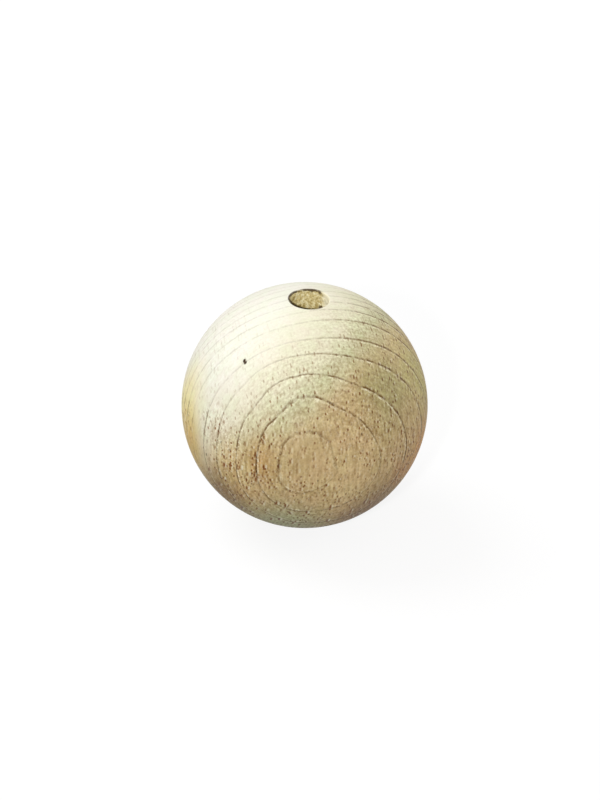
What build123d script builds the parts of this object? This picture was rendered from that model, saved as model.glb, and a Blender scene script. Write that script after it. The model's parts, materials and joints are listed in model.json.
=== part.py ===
from build123d import *
import os

# A beech ball, turned in one piece with the grain upright, and drilled from its
# crown to its centre along the grain. The origin is the centre of the ball, and +Z
# runs up the bore and out of its mouth.

ball_diameter = 50.0
bore_diameter = 8.0
bore_depth = 25.0  # from the crown of the whole ball down to the floor of the bore
spur_diameter = 2.4  # the pit that the drill's centre spur leaves in the floor
spur_length = 1.6
mouth_round = 0.3  # the sanded edge where the wall of the bore meets the ball

ball_radius = ball_diameter / 2
bore_radius = bore_diameter / 2
spur_radius = spur_diameter / 2
floor_height = ball_radius - bore_depth
drill_top = ball_radius + bore_radius  # clear above the crown

with BuildPart() as ball:
    # Half of the ball's section: x runs out from the turning axis, and y runs up it
    with BuildSketch(Plane.XZ) as half_section:
        # The turned outside, from the foot of the ball up to its crown
        with BuildLine():
            outside = CenterArc((0, 0), ball_radius, start_angle=-90, arc_size=180)
            Line(outside @ 1, outside @ 0)
        make_face()

        # The drill's path: a straight wall, a flat floor and the pit of the spur
        with BuildLine():
            Polyline(
                (0, drill_top),
                (bore_radius, drill_top),
                (bore_radius, floor_height),
                (spur_radius, floor_height),
                (0, floor_height - spur_length),
                close=True,
            )
        make_face(mode=Mode.SUBTRACT)

        mouth_corner = half_section.vertices().sort_by(Axis.Y)[-1]
        fillet(mouth_corner, radius=mouth_round)

    revolve(axis=Axis.Z)

ball.part.label = "ball"

os.makedirs("parts", exist_ok=True)
export_step(ball.part, "parts/ball.step")
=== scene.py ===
import json
from math import asin, cos, pi, radians, sin, sqrt, tan

import bpy
from mathutils import Matrix, Vector


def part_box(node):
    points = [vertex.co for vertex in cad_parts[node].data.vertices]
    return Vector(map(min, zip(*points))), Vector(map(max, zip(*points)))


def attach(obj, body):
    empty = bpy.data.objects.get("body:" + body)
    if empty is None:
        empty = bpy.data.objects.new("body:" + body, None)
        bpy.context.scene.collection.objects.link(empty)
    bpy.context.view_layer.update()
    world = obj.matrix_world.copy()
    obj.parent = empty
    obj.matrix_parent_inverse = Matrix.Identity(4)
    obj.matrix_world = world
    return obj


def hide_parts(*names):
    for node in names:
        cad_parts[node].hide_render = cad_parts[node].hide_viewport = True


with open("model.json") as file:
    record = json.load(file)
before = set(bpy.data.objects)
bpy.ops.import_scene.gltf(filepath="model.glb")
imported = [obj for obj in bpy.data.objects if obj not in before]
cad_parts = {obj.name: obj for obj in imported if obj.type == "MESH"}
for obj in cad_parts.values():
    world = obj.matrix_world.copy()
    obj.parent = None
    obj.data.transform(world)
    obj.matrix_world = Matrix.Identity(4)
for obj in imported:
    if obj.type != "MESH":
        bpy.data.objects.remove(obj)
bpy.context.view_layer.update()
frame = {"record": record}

# A turned beech ball, drilled from its crown along the grain. The ball's centre is the
# origin, the bore runs up +Z, and lengths are in metres unless a note says otherwise.

mm = 0.001
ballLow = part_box("ball")[0]
ballRadius = -ballLow.z
boreRadius = frame["record"]["mounts"][0]["dims"]["r_mm"] * mm
boreFloor = 0.0          # the drill stopped at the ball's centre
mouthHeight = sqrt(ballRadius ** 2 - boreRadius ** 2)    # where the bore's wall meets the ball
slack = 0.01 * mm        # points this close count as being in one place


# The camera comes first

cameraSet = {
    "elevation": 31.0,   # degrees above the floor, looking along +Y
    "distance": 0.6,
    "lens": 132.83,      # makes the ball 246 pixels wide in the 600 x 800 picture
    "roll": 2.6,         # degrees, because the picture leans a little
    "shift": (-4.6 / 800, 5.0 / 800),
    "nearest": 0.01,
    "farthest": 20,
}


def placeCamera(settings):
    rise = radians(settings["elevation"])
    spot = Vector((0, -cos(rise), sin(rise))) * settings["distance"]
    turn = Matrix.Rotation(pi / 2 - rise, 4, "X") @ Matrix.Rotation(radians(settings["roll"]), 4, "Z")
    bpy.ops.object.camera_add(location=spot, rotation=turn.to_euler())
    camera = bpy.context.object
    camera.name = "productCamera"
    camera.data.lens = settings["lens"]
    camera.data.shift_x, camera.data.shift_y = settings["shift"]
    camera.data.clip_start = settings["nearest"]
    camera.data.clip_end = settings["farthest"]
    bpy.context.scene.camera = camera


placeCamera(cameraSet)
bpy.context.scene.view_settings.view_transform = "Standard"
print("camera placed")


# The ball, turned from half a section and drilled

ballShape = {
    "outlinePoints": 320,      # round the whole circle, of which half is turned
    "turnSteps": 320,
    "mouthRound": 0.3 * mm,    # the sanded edge of the bore
    "mouthSegments": 5,
    "spurRadius": 1.2 * mm,    # the pit that the drill's spur leaves
    "spurDepth": 1.6 * mm,
    "fineWall": 9.0 * mm,      # how far down the wall is closely divided
    "fineCuts": 55,
    "deepCuts": 16,
    "floorCuts": 5,
    "weld": 0.001 * mm,        # points this close are joined where the turning meets itself
}


def selectPoints(piece, test):
    # Selects just the vertices that pass the test, and the edges and faces between them
    bpy.ops.object.mode_set(mode="EDIT")
    bpy.ops.mesh.select_mode(type="VERT")
    bpy.ops.mesh.select_all(action="DESELECT")
    bpy.ops.object.mode_set(mode="OBJECT")
    for vertex in piece.data.vertices:
        vertex.select = test(vertex.co)
    bpy.ops.object.mode_set(mode="EDIT")


def near(value, target):
    return abs(value - target) < slack


def turnBall(shape):
    bpy.ops.object.select_all(action="DESELECT")
    bpy.ops.mesh.primitive_circle_add(vertices=shape["outlinePoints"], radius=ballRadius,
                                      rotation=(pi / 2, 0, 0))
    ball = bpy.context.object
    ball.name = "turnedBall"
    bpy.ops.object.transform_apply(location=True, rotation=True, scale=True)

    # Half the outline stays, less the crown that the drill takes, and its last point
    # slides to where the wall comes out
    halfStep = pi * ballRadius / shape["outlinePoints"]
    selectPoints(ball, lambda co: co.x < -slack or (co.z > 0 and co.x < boreRadius - halfStep))
    bpy.ops.mesh.delete(type="VERT")
    bpy.ops.object.mode_set(mode="OBJECT")
    lastPoint = max(ball.data.vertices, key=lambda vertex: vertex.co.z).co.copy()
    selectPoints(ball, lambda co: near(co.z, lastPoint.z))
    bpy.ops.transform.translate(value=Vector((boreRadius, 0, mouthHeight)) - lastPoint)

    # The wall, floor and pit are drawn on from there
    for step in ((0, 0, -shape["fineWall"]),
                 (0, 0, boreFloor - mouthHeight + shape["fineWall"]),
                 (shape["spurRadius"] - boreRadius, 0, 0),
                 (-shape["spurRadius"], 0, -shape["spurDepth"])):
        bpy.ops.mesh.extrude_region_move(TRANSFORM_OT_translate={"value": step})

    # The mouth's corner is rounded, then the long runs are divided
    selectPoints(ball, lambda co: near(co.x, boreRadius) and near(co.z, mouthHeight))
    cornerAngle = pi / 2 - asin(boreRadius / ballRadius)
    bpy.ops.mesh.bevel(offset=shape["mouthRound"] / tan(cornerAngle / 2), segments=shape["mouthSegments"],
                       affect="VERTICES", profile=0.5)
    fineFoot = mouthHeight - shape["fineWall"]
    for low, high, cuts in ((fineFoot, mouthHeight, shape["fineCuts"]),
                            (boreFloor, fineFoot, shape["deepCuts"])):
        selectPoints(ball, lambda co: near(co.x, boreRadius) and low - slack < co.z < high + slack)
        bpy.ops.mesh.subdivide(number_cuts=cuts)
    selectPoints(ball, lambda co: near(co.z, boreFloor) and co.x < boreRadius + slack)
    bpy.ops.mesh.subdivide(number_cuts=shape["floorCuts"])
    bpy.ops.object.mode_set(mode="OBJECT")

    lathe = ball.modifiers.new("lathe", "SCREW")
    lathe.axis = "Z"
    lathe.angle = 2 * pi
    lathe.steps = lathe.render_steps = shape["turnSteps"]
    lathe.use_merge_vertices = True
    lathe.merge_threshold = shape["weld"]
    bpy.ops.object.modifier_apply(modifier=lathe.name)
    bpy.ops.object.mode_set(mode="EDIT")
    bpy.ops.mesh.select_all(action="SELECT")
    bpy.ops.mesh.remove_doubles(threshold=shape["weld"])
    bpy.ops.mesh.normals_make_consistent(inside=False)
    bpy.ops.object.mode_set(mode="OBJECT")
    return ball


turnedBall = turnBall(ballShape)
print("ball turned and drilled:", len(turnedBall.data.vertices), "points")


# Wear in the shape itself: the drill tears the wall, and the face has two small pits

wearShape = {
    "tearSize": 0.55 * mm,
    "tearDetail": 2,
    "tearDepth": 0.30 * mm,     # the whole swing, in and out
    "tearFoot": 0.8 * mm,       # the wall's lowest bit stays clean
    "tearRim": 0.05 * mm,       # how far past the wall, into the rounded mouth, it tears
    "pits": (                   # where they are, how wide and how deep
        (Vector((-12.2, -13.4, 17.3)) * mm, 0.42 * mm, 0.30 * mm),
        (Vector((3.3, -24.7, -2.5)) * mm, 0.26 * mm, 0.14 * mm),
    ),
    "pitCuts": (4, 2),          # the face is divided once within each of these, in pit widths
    "pitSteps": (1.0, 0.7, 0.4),     # and is pushed in by steps, each narrower than the last
    "crispAngle": 50,           # degrees, past which an edge isn't shaded smooth
}


def tearWall(ball, wear):
    wall = ball.vertex_groups.new(name="boreWall")
    for vertex in ball.data.vertices:
        across = sqrt(vertex.co.x ** 2 + vertex.co.y ** 2)
        if across < boreRadius + wear["tearRim"] and boreFloor + wear["tearFoot"] < vertex.co.z:
            wall.add([vertex.index], 1.0, "REPLACE")
    tearing = bpy.data.textures.new("tearing", "CLOUDS")
    tearing.noise_scale = wear["tearSize"]
    tearing.noise_depth = wear["tearDetail"]
    tear = ball.modifiers.new("tear", "DISPLACE")
    tear.texture = tearing
    tear.vertex_group = wall.name
    tear.strength = wear["tearDepth"]
    tear.mid_level = 0.5
    bpy.ops.object.modifier_apply(modifier=tear.name)


def sinkPits(ball, wear):
    for spot, width, depth in wear["pits"]:
        spot = spot.normalized() * ballRadius
        for widths in wear["pitCuts"]:
            selectPoints(ball, lambda co: (co - spot).length < widths * width)
            bpy.ops.mesh.subdivide(number_cuts=1)
        for share in wear["pitSteps"]:
            selectPoints(ball, lambda co: (co - spot).length < width * share)
            bpy.ops.transform.translate(value=spot.normalized() * depth / -len(wear["pitSteps"]))
        bpy.ops.object.mode_set(mode="OBJECT")


tearWall(turnedBall, wearShape)
sinkPits(turnedBall, wearShape)
bpy.ops.object.shade_smooth_by_angle(angle=radians(wearShape["crispAngle"]))
print("wall torn and pits sunk:", len(turnedBall.data.vertices), "points")


# A bench for shader nodes: a socket is linked, and any other value is set on its input

class NodeBench:
    def __init__(self, tree):
        self.tree = tree
        tree.nodes.clear()

    def add(self, kind, inputs=None, **settings):
        node = self.tree.nodes.new(kind)
        for name, value in settings.items():
            setattr(node, name, value)
        for key, value in (inputs or {}).items():
            if isinstance(value, bpy.types.NodeSocket):
                self.tree.links.new(value, node.inputs[key])
            else:
                node.inputs[key].default_value = value
        place = len(self.tree.nodes) - 1
        node.location = (place // 8 * 220, place % 8 * -300)    # eight to a column
        return node

    def maths(self, operation, *values, clamp=False):
        node = self.add("ShaderNodeMath", dict(enumerate(values)), operation=operation, use_clamp=clamp)
        return node.outputs[0]

    def product(self, *values):
        result = values[0]
        for value in values[1:]:
            result = self.maths("MULTIPLY", result, value)
        return result

    def vector(self, operation, *values):
        keys = (0, 3) if operation == "SCALE" else (0, 1, 2)
        node = self.add("ShaderNodeVectorMath", dict(zip(keys, values)), operation=operation)
        return node.outputs["Value" if operation in ("LENGTH", "DISTANCE", "DOT_PRODUCT") else "Vector"]

    def stretch(self, vector, factors):
        return self.vector("MULTIPLY", vector, factors)

    def fade(self, value, start, end, low=0.0, high=1.0, style="SMOOTHSTEP"):
        # low at the start and high at the end, which may be either way round
        node = self.add("ShaderNodeMapRange", {0: value, 1: start, 2: end, 3: low, 4: high},
                        interpolation_type=style)
        return node.outputs[0]

    def within(self, spot, centre, radius, core, inside, outside):
        # inside as far as the core's share of the radius, and outside past the radius
        away = self.vector("DISTANCE", spot, centre)
        return self.fade(away, core * radius, radius, inside, outside)

    def noise(self, vector, pattern):
        factors, scale, detail, roughness = pattern
        node = self.add("ShaderNodeTexNoise", {"Vector": self.stretch(vector, factors), "Scale": scale,
                                               "Detail": detail, "Roughness": roughness})
        return node.outputs[0]

    def swing(self, noise, size, value=0.0):
        # The value, moved up and down by the noise
        return self.maths("MULTIPLY_ADD", self.maths("SUBTRACT", noise, 0.5), size, value)

    def mix(self, factor, under, over, style="MIX"):
        node = self.add("ShaderNodeMix", {0: factor, 6: under, 7: over}, data_type="RGBA", blend_type=style)
        return node.outputs[2]


def screenColour(red, green, blue):
    # 0 to 255 values, as the wood reads on screen, to the shader's linear ones
    parts = [value / 255 for value in (red, green, blue)]
    return tuple(p / 12.92 if p <= 0.04045 else ((p + 0.055) / 1.055) ** 2.4 for p in parts) + (1.0,)


# Bare beech. Lengths here are in millimetres, and the grain runs up Z. A fade is given as
# where it starts and ends, then what it is at each

beech = {
    "barkTurn": 16.5,          # degrees from -Y to the side that was nearest the bark
    "pithDistance": 100.0,     # from the ball's centre back to the middle of the tree
    "noises": {                # factors for each axis, scale, detail and roughness
        "blotch": ((1, 1, 0.5), 0.11, 3.0, 0.55),
        "drift": ((1, 1, 0.7), 0.30, 3.0, 0.6),
        "waver": ((1.05, 0.12, 0.45), 1.0, 3.0, 0.6),     # from here on: around, outward, height
        "patches": ((0.8, 0.08, 0.55), 1.0, 3.0, 0.65),
        "streaks": ((2.2, 2.2, 0.20), 1.0, 3.0, 0.6),
        "hairs": ((0.22, 2.8, 0.30), 1.0, 2.0, 0.6),
        "grit": ((1.0, 1.0, 0.8), 1.9, 2.0, 0.80),
        "columns": ((0.9, 0.9, 0.06), 1.0, 1.0, 0.5),
        "crumbs": ((1, 1, 1), 1.5, 2.0, 0.75),            # and these two are in x, y, z again
        "rimShadeNoise": ((1, 1, 1), 0.8, 2.0, 0.5),
    },

    # Tone, with painted light on the upper left
    "toneAndLight": (                 # from the lower right to the upper left, palest on the side that the key lamp lights: partly the wood's own tone and partly painted light
        (0.0, screenColour(204, 177, 131)),
        (0.17, screenColour(203, 181, 137)),
        (0.34, screenColour(204, 200, 163)),
        (0.50, screenColour(223, 219, 191)),
        (0.72, screenColour(234, 231, 211)),
        (1.0, screenColour(239, 239, 230)),
    ),
    # The tone slope points towards the key lamp, so its paleness is partly painted light
    "toneAndLightSlope": Vector((-0.75, 0.34, 0.57)) / 25,
    "toneReach": (-0.30, 0.70),                  # on the slope, for the first tone and the last
    "toneWander": 0.25,                          # how far the blotches move it
    "olive": screenColour(252, 252, 243),        # two casts that drift over the wood
    "rosy": screenColour(255, 251, 247),
    "driftReach": (0.38, 0.62),
    "tints": (                 # centre, radius, colour and strength of each stain
        ((-7.0, -23.5, 0.0), 12.0, screenColour(210, 184, 134), 0.48),
        ((-14.0, -19.5, -6.5), 11.5, screenColour(222, 186, 125), 0.75),
        ((-8.6, -23.3, 0.4), 5.8, screenColour(194, 151, 92), 0.62),
        ((9.5, -21.6, -5.8), 12.5, screenColour(228, 202, 151), 0.80),
        ((-15.0, -15.5, -13.5), 11.5, screenColour(157, 127, 91), 0.92),
        ((14.0, -15.0, -15.5), 12.5, screenColour(163, 132, 104), 0.88),
        ((-3.0, -17.5, -18.0), 13.0, screenColour(189, 193, 155), 0.90),
        ((-23.5, -6.0, 1.5), 12.0, screenColour(242, 229, 156), 0.80),
        ((-22.5, -9.5, -5.0), 9.5, screenColour(221, 186, 112), 0.85),
        ((16.3, -14.0, 13.5), 11.5, screenColour(170, 162, 112), 0.80),
        ((22.5, -3.5, 11.0), 12.0, screenColour(198, 188, 125), 0.85),
        ((23.2, -6.9, -6.1), 10.0, screenColour(216, 159, 96), 0.85),
        ((19.6, -14.4, -6.0), 5.6, screenColour(190, 131, 88), 0.42),
    ),
    "tintShape": (1.04, 1.04, 0.80),             # longer up the grain
    "tintWander": 5.0,
    "tintCore": 0.1,                             # the share of the radius at full strength

    # How strongly the grain shows
    "grainFade": (0.25, 0.85, 1.0, 0.22),        # by tone, least in the palest wood
    "crownFade": (24.5, 18.0, 0.65, 1.0),        # by height
    "weathered": (             # places where the pale wood still shows its grain
        ((-17.2, -17.7, 3.9), 9.0, 0.70),
        ((-24.0, -6.5, 0.0), 9.0, 0.65),
    ),
    "weatheredCore": 0.25,
    "textured": (              # places whose grain is stronger or calmer: centre, radius and how much
        ((-14.5, -20.0, -1.5), 12.0, 1.4),
        ((1.0, -24.7, 3.0), 7.0, 0.62),
        ((6.5, -4.5, 23.8), 8.5, 1.4),
        ((13.5, -20.0, 6.5), 8.0, 1.3),
        ((20.5, -12.5, -3.0), 10.0, 1.5),
        ((2.0, -17.0, -18.0), 12.0, 1.3),
    ),
    "texturedCore": 0.3,

    # Rings
    "ringEdges": (-26.4, -23.6, -21.9, -19.0, -16.8, -14.1, -11.4, -9.7, -6.9, -4.9, -2.4,
                  -0.15, 2.2, 4.75, 7.65, 11.9, 15.3, 19.1, 21.8, 23.4, 26.0),
    "swells": (                # x, z, half width, half height and lift of each wave in the rings
        (12.8, 0.0, 23.2, 25.9, -1.8),
        (-9.0, -11.0, 16.5, 37.6, 1.1),
        (-6.7, 11.8, 30.0, 13.2, 1.1),
        (-2.5, 17.0, 15.0, 8.5, 1.4),
    ),
    "waver": 0.34,                               # the fine unevenness of a ring's edge
    "waverFade": (0.15, 0.8, 0.45, 1.0),         # less of it where the face runs along the rings
    "leastSlant": 0.02,
    "slantPower": 1.45,                          # 1 keeps a line's width there, and more makes it finer
    "ringLead": 0.6,                             # a dark line starts less than this before its edge
    "lateLine": (-0.60, -0.20, -0.03, 0.07),     # over the face: starts, full, fading, gone
    "earlyLine": (0.0, 0.12, 0.26, 0.65),
    "shallowFade": (0.20, 0.60, 0.45, 1.0),      # both lines weaken where the face runs along the rings
    "lateHeight": (2.0, -8.0, 1.0, 0.65),
    "latePatches": (0.34, 0.58, 0.25, 1.0),
    "earlyPatches": (0.36, 0.64, 0.05, 0.65),
    "earlyGrit": (0.42, 0.60, 0.15, 1.0),
    "lateWood": screenColour(114, 84, 42),
    "earlyWood": screenColour(252, 244, 212),

    # Fibres, and painted glints: bright dots of painted highlight where the face would catch the light. A
    # place is given as its centre and radius, the core's share of that, and what it is inside and outside
    "streakDepth": 1.40,
    "hairDepth": 0.65,
    "gritDepth": 0.85,
    "shadeTint": (0.80, 1.0, 1.25),              # the dark fibres are browner than the pale ones
    "glintDotScale": 1.7,
    "glintDotEdge": (0.42, 0.15),
    "glintDotPlace": ((-17.2, -17.7, 3.9), 9.0, 0.25, 0.80, 0.15),

    # Rays
    "bigRays": {
        "cell": (1.25, 12.0, 1.8),               # one ray in each
        "half": (0.20, 4.5, 0.72),               # half its thickness, depth and height
        "shift": (0, 0, 0),
        "luck": (0.1, 0.8, 0.35, 1.0),           # some show more than others
    },
    "smallRays": {
        "cell": (0.68, 6.0, 0.85),
        "half": (0.15, 2.5, 0.34),
        "shift": (7.3, 2.1, 4.4),
        "luck": (0.0, 0.8, 0.20, 0.90),
    },
    "rayJitter": 1.1,
    "fleckEdge": (1.15, 0.45),
    "glintEdge": (1.20, 0.50),
    "glintAside": (0.36, 0, 0.12),               # from a fleck's heart to the painted glint beside it
    "glintStrength": 0.45,
    "rayColumns": (0.38, 0.58, 0.50, 1.20),
    "rayCrown": (24.5, 20.0, 0.15, 1.0),
    "bigHeight": (14.0, 0.0, 0.35, 1.0),
    "boldLow": (-5.0, -13.0, 0, 1.3),            # the big flecks are bold low on the ball
    "boldPlace": ((-14.5, -20.0, -1.5), 24.0, 0.5, 1.0, 0.50),       # and round here
    "rayShade": screenColour(160, 113, 66),      # multiplies the wood under a fleck
    # painted highlight, for the glints beside the flecks and the bright dots
    "paintedGlint": screenColour(255, 248, 222),

    # The bore
    "boreSkin": (0.22, 0.02),                    # how far out of the wall its look starts, and is full
    "boreDepth": (-4, -3),
    "boreTones": (             # from the hollows to the crumbs of the torn wall
        (0.32, screenColour(166, 144, 86)),
        (0.50, screenColour(221, 205, 149)),
        (0.68, screenColour(251, 245, 210)),
    ),
    "boreLit": screenColour(250, 246, 222),      # the right side of the wall catches the light
    "litSide": (2.2, 3.3, 0, 0.75),
    # The specks' dark colour, also used for the painted shade and shadow round the mouth
    "darkSpeckAndShade": screenColour(62, 43, 22),
    # Painted shade: a dark line round the mouth's edge, left off on the lit right side
    "rimShadePlace": (0.05, -0.15),                # out and up from the mouth's corner
    "rimShadeEdge": (0.34, 0.18),
    "rimShadePatches": (0.38, 0.55, 0.40, 1.0),
    "rimShadeSide": (3.2, 1.4),
    "rimShadeStrength": 0.92,
    "wallPatches": (                 # centre and radius of each dark patch
        ((0.3, 4.0, 24.45), 0.50),
        ((2.1, 3.45, 24.4), 0.42),
        ((2.4, 3.2, 20.8), 0.85),
    ),
    "wallPatchEdge": (1.1, 0.5),                      # in radii
    "wallPatchCrumble": 0.8,
    "wallPatchStrength": 0.88,
    "rimShadowSlope": (0.08, 1.10, 1.0),            # painted shadow: the mouth's rim shades a slanting band round the wall
    "rimShadow": (-2.4, -1.3, -0.18, 0.12),         # where the painted shadow starts, is full, fades and is gone
    "rimShadowSide": (3.7, 3.1),
    "rimShadowStrength": 0.90,

    "specks": (                # centre, radius and strength
        ((-12.2, -13.05, 17.25), 0.54, 1.0),
        ((-11.95, -13.5, 16.95), 0.64, 1.0),
        ((3.3, -24.7, -2.5), 0.32, 0.75),
        ((-19.1, -15.9, -3.0), 0.32, 0.7),
        ((-14.3, -20.5, 1.2), 0.30, 0.6),
        ((-16.2, -19.0, 2.0), 0.28, 0.6),
        ((11.4, -21.2, 6.7), 0.30, 0.6),
    ),
    "speckShape": (1.7, 1.7, 0.8),               # longer up the grain than across it
    "speckEdge": (1.15, 0.65),                   # in radii

    # What stands up or sinks a few hundredths of a millimetre, and how it shines
    "streakRelief": 0.35,
    "gritRelief": 0.35,
    "rayRelief": -0.5,
    "ringRelief": 0.15,
    "crumbRelief": 2.0,
    "bumpDepth": 0.07,
    "bumpStrength": 0.8,
    "roughness": (0.3, 0.7, 0.52, 0.68),
    "rayPolish": -0.12,
    "specular": 0.22,
}


def addRamp(bench, value, stops):
    ramp = bench.add("ShaderNodeValToRGB", {0: value})
    elements = ramp.color_ramp.elements
    elements.remove(elements[-1])
    for number, (place, colour) in enumerate(stops):
        element = elements[0] if number == 0 else elements.new(place)
        element.position = place
        element.color = colour
    return ramp.outputs[0]


def band(bench, value, places):
    # Rises from the first place to the second, and falls from the third to the fourth
    start, full, fading, gone = places
    return bench.product(bench.fade(value, start, full), bench.fade(value, gone, fading))


def treePlace(bench, wood, coordinates, height):
    # Where a point is in the tree: round the rings, out from the pith, and up the grain
    pith = wood["pithDistance"]
    log = bench.add("ShaderNodeMapping", {"Vector": coordinates, "Scale": (1 / mm,) * 3,
                                          "Rotation": (0, 0, -radians(wood["barkTurn"])),
                                          "Location": (0, -pith, 0)}).outputs[0]
    logX, logY = bench.add("ShaderNodeSeparateXYZ", {0: log}).outputs[:2]
    outward = bench.vector("LENGTH", bench.stretch(log, (1, 1, 0)))
    around = bench.maths("MULTIPLY", bench.maths("DIVIDE", logX, logY), -pith)
    treeSpot = bench.add("ShaderNodeCombineXYZ", {0: around, 1: outward, 2: height}).outputs[0]
    return treeSpot, outward, logY


def woodToneAndLight(bench, wood, spot):
    # Paler towards the upper left, partly the wood's own tone and partly painted light on the key lamp's
    # side, with its stains, and with a cast that drifts from olive to rosy and back
    blotch = bench.noise(spot, wood["noises"]["blotch"])
    # The slope runs towards the key lamp, so the paleness is partly painted light
    slope = bench.vector("DOT_PRODUCT", spot, wood["toneAndLightSlope"])
    slope = bench.swing(blotch, wood["toneWander"], slope)
    palenessAndLight = bench.fade(slope, *wood["toneReach"], style="LINEAR")
    colour = addRamp(bench, palenessAndLight, wood["toneAndLight"])
    for centre, radius, tint, strength in wood["tints"]:
        away = bench.vector("SUBTRACT", spot, centre)
        away = bench.vector("LENGTH", bench.stretch(away, wood["tintShape"]))
        away = bench.swing(blotch, wood["tintWander"], away)
        stain = bench.fade(away, wood["tintCore"] * radius, radius, strength, 0)
        colour = bench.mix(stain, colour, tint)
    drift = bench.fade(bench.noise(spot, wood["noises"]["drift"]), *wood["driftReach"])
    cast = bench.mix(drift, wood["olive"], wood["rosy"])
    return bench.mix(1.0, colour, cast, "MULTIPLY"), palenessAndLight


def grainContrast(bench, wood, spot, height, palenessAndLight):
    contrast = bench.fade(palenessAndLight, *wood["grainFade"])
    for centre, radius, least in wood["weathered"]:
        showing = bench.within(spot, centre, radius, wood["weatheredCore"], least, 0)
        contrast = bench.maths("MAXIMUM", contrast, showing)
    for centre, radius, factor in wood["textured"]:
        change = bench.within(spot, centre, radius, wood["texturedCore"], factor, 1)
        contrast = bench.product(contrast, change)
    return bench.product(contrast, bench.fade(height, *wood["crownFade"]))


def pastRing(bench, wood, spot, treeSpot, outward, logY):
    # How far past the nearest ring's edge a point is, measured over the ball's face, and how
    # steeply the face cuts the rings there: 1 straight across them, and 0 along them
    squared = bench.maths("MULTIPLY", outward, outward)
    towardBark = bench.maths("MULTIPLY_ADD", logY, wood["pithDistance"], squared)
    towardBark = bench.maths("DIVIDE", towardBark, bench.maths("MULTIPLY", outward, ballRadius / mm))
    flatness = bench.maths("MULTIPLY", towardBark, towardBark)
    steepness = bench.maths("MAXIMUM", bench.maths("SUBTRACT", 1.0, flatness), wood["leastSlant"])
    slant = bench.maths("SQRT", steepness)

    # The rings wave where the ball was cut near knots and buttresses
    growth = bench.maths("SUBTRACT", outward, wood["pithDistance"])
    for x, z, halfWidth, halfHeight, lift in wood["swells"]:
        away = bench.vector("SUBTRACT", spot, (x, 0, z))
        away = bench.vector("LENGTH", bench.stretch(away, (1 / halfWidth, 0, 1 / halfHeight)))
        growth = bench.maths("ADD", growth, bench.fade(away, 0, 1, lift, 0, "SMOOTHERSTEP"))
    waver = bench.maths("SUBTRACT", bench.noise(treeSpot, wood["noises"]["waver"]), 0.5)
    waver = bench.product(waver, bench.fade(slant, *wood["waverFade"]))
    growth = bench.maths("MULTIPLY_ADD", waver, wood["waver"], growth)

    edges = wood["ringEdges"]
    lastEdge = edges[0]
    for before, edge in zip(edges, edges[1:]):
        reached = bench.maths("GREATER_THAN", growth, edge - wood["ringLead"])
        lastEdge = bench.maths("MULTIPLY_ADD", reached, edge - before, lastEdge)
    past = bench.maths("SUBTRACT", growth, lastEdge)

    # A ring that is cut at a shallow slant would spread over the face, so its lines are drawn in
    return bench.maths("DIVIDE", past, bench.maths("POWER", slant, wood["slantPower"])), slant


def ringLines(bench, wood, past, slant, treeSpot, height, grit):
    # A thin dark edge of late wood, then a broken bright band of early wood
    patches = bench.noise(treeSpot, wood["noises"]["patches"])
    shallow = bench.fade(slant, *wood["shallowFade"])
    late = bench.product(band(bench, past, wood["lateLine"]), bench.fade(height, *wood["lateHeight"]))
    late = bench.product(late, bench.fade(patches, *wood["latePatches"]), shallow)
    early = band(bench, past, wood["earlyLine"])
    early = bench.product(early, bench.fade(patches, *wood["earlyPatches"]), shallow)
    return late, bench.product(early, bench.fade(grit, *wood["earlyGrit"]))


def rayFlecks(bench, wood, treeSpot, rays, jitter):
    # The fleck in each cell, the painted glint beside it, and how much of them shows
    cell = rays["cell"]
    moved = bench.vector("ADD", bench.stretch(treeSpot, [1 / size for size in cell]), rays["shift"])
    cells = bench.add("ShaderNodeTexVoronoi", {"Vector": moved, "Scale": 1.0})
    luck = bench.add("ShaderNodeSeparateColor", {0: cells.outputs["Color"]}).outputs[0]
    fromHeart = bench.stretch(bench.vector("SUBTRACT", moved, cells.outputs["Position"]), cell)
    halves = [1 / half for half in rays["half"]]
    away = bench.vector("LENGTH", bench.stretch(fromHeart, halves))
    fleck = bench.fade(bench.maths("ADD", away, jitter), *wood["fleckEdge"])
    beside = bench.vector("SUBTRACT", fromHeart, wood["glintAside"])
    beside = bench.vector("LENGTH", bench.stretch(beside, halves))
    glint = bench.fade(bench.maths("ADD", beside, jitter), *wood["glintEdge"])
    return fleck, glint, bench.fade(luck, *rays["luck"])


def allRays(bench, wood, spot, treeSpot, height, grit):
    # Thin sheets of tissue that run out from the pith and show as flecks, in columns
    jitter = bench.swing(grit, wood["rayJitter"])
    columns = bench.noise(treeSpot, wood["noises"]["columns"])
    crowd = bench.product(bench.fade(columns, *wood["rayColumns"]), bench.fade(height, *wood["rayCrown"]))
    bold = bench.within(spot, *wood["boldPlace"])
    bold = bench.maths("MAXIMUM", bold, bench.fade(height, *wood["boldLow"]))
    bigFleck, bigGlint, bigShare = rayFlecks(bench, wood, treeSpot, wood["bigRays"], jitter)
    bigShare = bench.product(bigShare, bench.fade(height, *wood["bigHeight"]), crowd, bold)
    smallFleck, smallGlint, smallShare = rayFlecks(bench, wood, treeSpot, wood["smallRays"], jitter)
    smallShare = bench.product(smallShare, crowd)
    flecks = bench.maths("MAXIMUM", bench.product(bigFleck, bigShare), bench.product(smallFleck, smallShare))
    # The glints are painted highlights beside the flecks
    glints = bench.maths("MAXIMUM", bench.product(bigGlint, bigShare), bench.product(smallGlint, smallShare))
    return flecks, bench.product(glints, wood["glintStrength"])


def markGrain(bench, colour, mark, contrast, tint, style="MIX"):
    return bench.mix(bench.maths("MULTIPLY", mark, contrast, clamp=True), colour, tint, style)


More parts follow.
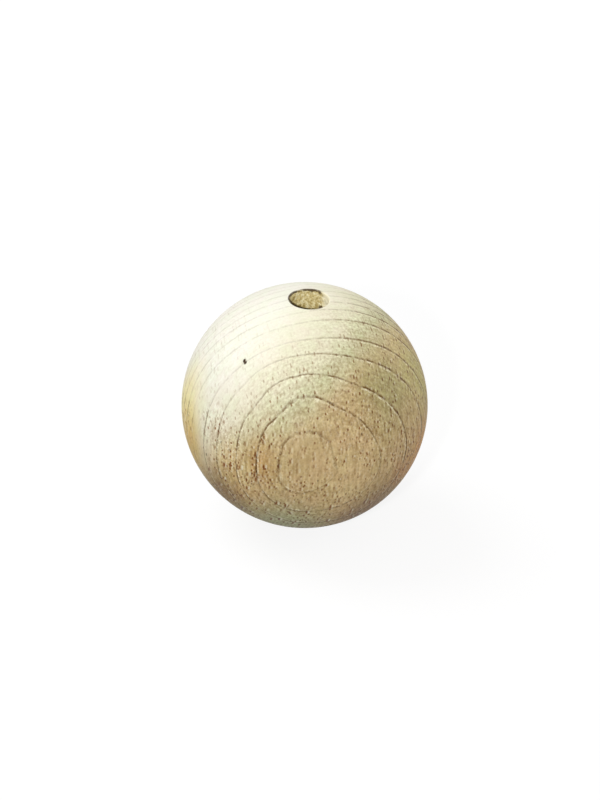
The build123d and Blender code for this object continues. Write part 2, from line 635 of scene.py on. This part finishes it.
def boreWall(bench, wood, rightward, height, across, crumbs):
    # Which points are in the bore, and the torn wood there
    start, full = wood["boreSkin"]
    boreEdge = boreRadius / mm
    inBore = bench.product(bench.fade(across, boreEdge + start, boreEdge + full),
                           bench.fade(height, *wood["boreDepth"], style="LINEAR"))
    torn = addRamp(bench, crumbs, wood["boreTones"])
    return inBore, bench.mix(bench.fade(rightward, *wood["litSide"]), torn, wood["boreLit"])


def darkenMouth(bench, wood, spot, rightward, height, across, inBore, crumbs):
    # Painted shade: a dark line round the mouth's edge, broken in patches, and left off on the right, where
    # the wall is lit
    out, up = wood["rimShadePlace"]
    mouth = mouthHeight / mm
    fromEdge = bench.add("ShaderNodeCombineXYZ",
                         {0: bench.maths("SUBTRACT", across, boreRadius / mm + out),
                          1: bench.maths("SUBTRACT", height, mouth + up)}).outputs[0]
    rimShade = bench.fade(bench.vector("LENGTH", fromEdge), *wood["rimShadeEdge"])
    rimShadeNoise = bench.fade(bench.noise(spot, wood["noises"]["rimShadeNoise"]), *wood["rimShadePatches"])
    leftSide = bench.fade(rightward, *wood["rimShadeSide"])
    mouthDarkening = bench.product(rimShade, rimShadeNoise, leftSide, wood["rimShadeStrength"])

    # Then come dark patches on the wall, and a painted shadow that the mouth's rim casts on the wall below
    # it
    crumble = bench.swing(crumbs, wood["wallPatchCrumble"])
    outer, inner = wood["wallPatchEdge"]
    for centre, radius in wood["wallPatches"]:
        away = bench.maths("ADD", bench.vector("DISTANCE", spot, centre), crumble)
        wallPatch = bench.fade(away, radius * outer, radius * inner)
        mouthDarkening = bench.maths("MAXIMUM", mouthDarkening, bench.product(wallPatch, inBore, wood["wallPatchStrength"]))
    # Painted shadow of the mouth's rim, on the wall below it
    overSlant = bench.maths("SUBTRACT", bench.vector("DOT_PRODUCT", spot, wood["rimShadowSlope"]), mouth)
    rimShadow = bench.product(band(bench, overSlant, wood["rimShadow"]), inBore,
                           bench.fade(rightward, *wood["rimShadowSide"]), wood["rimShadowStrength"])
    return bench.maths("MAXIMUM", mouthDarkening, rimShadow)


def makeBeech(wood):
    material = bpy.data.materials.new("bareBeech")
    material.use_nodes = True
    bench = NodeBench(material.node_tree)
    coordinates = bench.add("ShaderNodeTexCoord").outputs["Object"]
    spot = bench.vector("SCALE", coordinates, 1 / mm)
    spotParts = bench.add("ShaderNodeSeparateXYZ", {0: spot})
    rightward = spotParts.outputs[0]
    height = spotParts.outputs[2]
    treeSpot, outward, logY = treePlace(bench, wood, coordinates, height)
    colour, palenessAndLight = woodToneAndLight(bench, wood, spot)
    contrast = grainContrast(bench, wood, spot, height, palenessAndLight)

    # Fibres run up the grain as fine streaks that turn to dots on the end grain. Hair lines
    # run along the rings, and grit stands for the pores
    streaks = bench.noise(treeSpot, wood["noises"]["streaks"])
    hairs = bench.noise(treeSpot, wood["noises"]["hairs"])
    grit = bench.noise(treeSpot, wood["noises"]["grit"])

    # The ring lines are drawn, and the fibres shade them along with the wood
    past, slant = pastRing(bench, wood, spot, treeSpot, outward, logY)
    late, early = ringLines(bench, wood, past, slant, treeSpot, height, grit)
    colour = markGrain(bench, colour, late, contrast, wood["lateWood"])
    colour = markGrain(bench, colour, early, contrast, wood["earlyWood"])
    shade = bench.swing(streaks, wood["streakDepth"])
    shade = bench.swing(hairs, wood["hairDepth"], shade)
    shade = bench.swing(grit, wood["gritDepth"], shade)
    shade = bench.vector("MULTIPLY_ADD", bench.product(shade, contrast), wood["shadeTint"], (1, 1, 1))
    colour = bench.stretch(colour, shade)

    # Painted glints and the rays lie over those
    # Bright dots of painted highlight, where the face would catch the light
    glintDots = bench.add("ShaderNodeTexVoronoi", {"Vector": spot, "Scale": wood["glintDotScale"]})
    glintDots = bench.fade(glintDots.outputs["Distance"], *wood["glintDotEdge"])
    glintDots = bench.product(glintDots, bench.within(spot, *wood["glintDotPlace"]))
    colour = markGrain(bench, colour, glintDots, contrast, wood["paintedGlint"])
    flecks, glints = allRays(bench, wood, spot, treeSpot, height, grit)
    colour = markGrain(bench, colour, glints, contrast, wood["paintedGlint"])
    colour = markGrain(bench, colour, flecks, contrast, wood["rayShade"], "MULTIPLY")

    # The bore has its own look, and then come the painted shade round the mouth and the specks
    across = bench.vector("LENGTH", bench.stretch(spot, (1, 1, 0)))
    crumbs = bench.noise(spot, wood["noises"]["crumbs"])
    inBore, torn = boreWall(bench, wood, rightward, height, across, crumbs)
    colour = bench.mix(inBore, colour, torn)
    mouthDarkening = darkenMouth(bench, wood, spot, rightward, height, across, inBore, crumbs)
    # Painted shade and shadow round the mouth, with the dark patches, in the specks' dark colour
    colour = bench.mix(mouthDarkening, colour, wood["darkSpeckAndShade"])
    outer, inner = wood["speckEdge"]
    for centre, radius, strength in wood["specks"]:
        away = bench.stretch(bench.vector("SUBTRACT", spot, centre), wood["speckShape"])
        speck = bench.fade(bench.vector("LENGTH", away), radius * outer, radius * inner, 0, strength)
        colour = bench.mix(speck, colour, wood["darkSpeckAndShade"])

    relief = bench.product(streaks, wood["streakRelief"])
    relief = bench.maths("MULTIPLY_ADD", grit, wood["gritRelief"], relief)
    relief = bench.maths("MULTIPLY_ADD", flecks, wood["rayRelief"], relief)
    relief = bench.maths("MULTIPLY_ADD", bench.maths("SUBTRACT", early, late), wood["ringRelief"], relief)
    relief = bench.maths("MULTIPLY_ADD", bench.product(crumbs, inBore), wood["crumbRelief"], relief)
    bump = bench.add("ShaderNodeBump", {"Height": relief, "Distance": wood["bumpDepth"] * mm,
                                        "Strength": wood["bumpStrength"]})
    roughness = bench.fade(streaks, *wood["roughness"], "LINEAR")
    roughness = bench.maths("MULTIPLY_ADD", flecks, wood["rayPolish"], roughness)
    surface = bench.add("ShaderNodeBsdfPrincipled", {"Base Color": colour, "Roughness": roughness,
                                                     "Normal": bump.outputs[0],
                                                     "Specular IOR Level": wood["specular"]})
    bench.add("ShaderNodeOutputMaterial", {"Surface": surface.outputs[0]})
    return material


turnedBall.data.materials.clear()
turnedBall.data.materials.append(makeBeech(beech))
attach(turnedBall, "root")
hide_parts("ball")
print("beech finished")


# A pale floor that reads white, with the ball's soft shadow on it, and soft studio light

studio = {
    "floorSize": 6.0,
    "floorGrey": 0.16,        # dark enough to leave the underside of the ball in shade
    "floorGlow": 0.85,        # only what the camera and reflections see, by the ball
    "farGlow": 1.0,           # and where the lamps no longer reach, to stay white up to the horizon
    "glowReach": (0.10, 0.50),
    "sky": 0.39,
    "key": {"from": (-0.55, 0.27, 0.73), "away": 0.9, "size": 0.70, "level": 0.59},
    "fill": {"from": (-0.14, -0.86, 0.49), "away": 0.9, "size": 0.06, "level": 0.53},
    "edge": {"from": (0.85, 0.45, 0.25), "away": 0.9, "size": 0.50, "level": 0.25},
}


def seenDirectly(bench):
    # 1 for rays that show the floor or sky itself, and 0 for the ones that light the ball
    path = bench.add("ShaderNodeLightPath").outputs
    seen = bench.maths("MAXIMUM", path["Is Camera Ray"], path["Is Glossy Ray"])
    return bench.maths("MAXIMUM", seen, path["Is Transmission Ray"])


def layFloor(settings):
    bpy.ops.object.select_all(action="DESELECT")
    bpy.ops.mesh.primitive_plane_add(size=settings["floorSize"], location=(0, 0, ballLow.z))
    floor = bpy.context.object
    floor.name = "studioFloor"
    material = bpy.data.materials.new("paleFloor")
    material.use_nodes = True
    bench = NodeBench(material.node_tree)
    grey = settings["floorGrey"]
    matt = bench.add("ShaderNodeBsdfDiffuse", {"Color": (grey, grey, grey, 1)})
    away = bench.vector("LENGTH", bench.add("ShaderNodeTexCoord").outputs["Object"])
    level = bench.fade(away, *settings["glowReach"], settings["floorGlow"], settings["farGlow"])
    glow = bench.add("ShaderNodeEmission", {"Strength": bench.product(seenDirectly(bench), level)})
    both = bench.add("ShaderNodeAddShader", {0: matt.outputs[0], 1: glow.outputs[0]})
    clear = bench.add("ShaderNodeBsdfTransparent")     # the floor can be seen through from below
    under = bench.add("ShaderNodeNewGeometry").outputs["Backfacing"]
    surface = bench.add("ShaderNodeMixShader", {0: under, 1: both.outputs[0], 2: clear.outputs[0]})
    bench.add("ShaderNodeOutputMaterial", {"Surface": surface.outputs[0]})
    floor.data.materials.append(material)


def hangLamp(name, lamp):
    direction = Vector(lamp["from"]).normalized()
    bpy.ops.object.light_add(type="AREA", location=direction * lamp["away"],
                             rotation=direction.to_track_quat("Z", "Y").to_euler())
    light = bpy.context.object
    light.name = name
    light.data.shape = "DISK"
    light.data.size = lamp["size"]
    light.data.energy = lamp["level"] * (pi * lamp["away"]) ** 2   # level 1 shows a facing colour as written


def paintSky(settings):
    world = bpy.data.worlds.new("studioSky")
    world.use_nodes = True
    bench = NodeBench(world.node_tree)
    strength = bench.fade(seenDirectly(bench), 0, 1, settings["sky"], 1.0, "LINEAR")
    sky = bench.add("ShaderNodeBackground", {"Color": (1, 1, 1, 1), "Strength": strength})
    bench.add("ShaderNodeOutputWorld", {"Surface": sky.outputs[0]})
    bpy.context.scene.world = world


layFloor(studio)
hangLamp("keyLamp", studio["key"])
hangLamp("fillLamp", studio["fill"])
hangLamp("edgeLamp", studio["edge"])
paintSky(studio)
print("studio lit")
